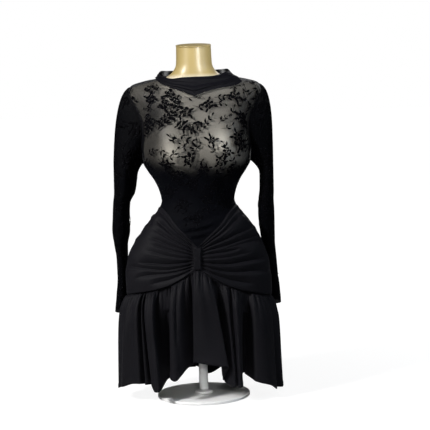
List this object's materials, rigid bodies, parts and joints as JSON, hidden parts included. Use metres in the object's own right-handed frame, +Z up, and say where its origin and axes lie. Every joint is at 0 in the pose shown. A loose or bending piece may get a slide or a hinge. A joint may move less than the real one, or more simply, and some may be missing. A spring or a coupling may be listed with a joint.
{
  "type": "mini dress on a limbless dress form",
  "caption": "Long-sleeved mini dress in sheer floral mesh with a ruched hip yoke and gathered flounce, on a limbless dress form with a round base.",
  "frame": {"origin": "centre of the underside of the round base, on the surface that it stands on", "axes": "+Z up along the pole, -Y towards the front of the dress, +X towards the viewer's right as seen from the front"},
  "size_m": [0.479, 0.3022, 0.9909],
  "materials": {
    "mesh": "sheer black mesh with flocked flowers",
    "jersey": "matte black stretch jersey",
    "form": "smooth beige moulded shell",
    "stand": "white powder coat"
  },
  "bodies": {
    "root": {"form_torso": "form", "form_neck_cap": "form", "stand_pole": "stand", "stand_base": "stand", "bodice_front": "mesh", "bodice_back": "mesh", "sleeve_left": "mesh", "sleeve_right": "mesh", "collar": "jersey", "yoke_front_left": "jersey", "yoke_front_right": "jersey", "yoke_back": "jersey", "centre_tab": "jersey", "flounce_front": "jersey", "flounce_back": "jersey"}
  },
  "joints": []
}
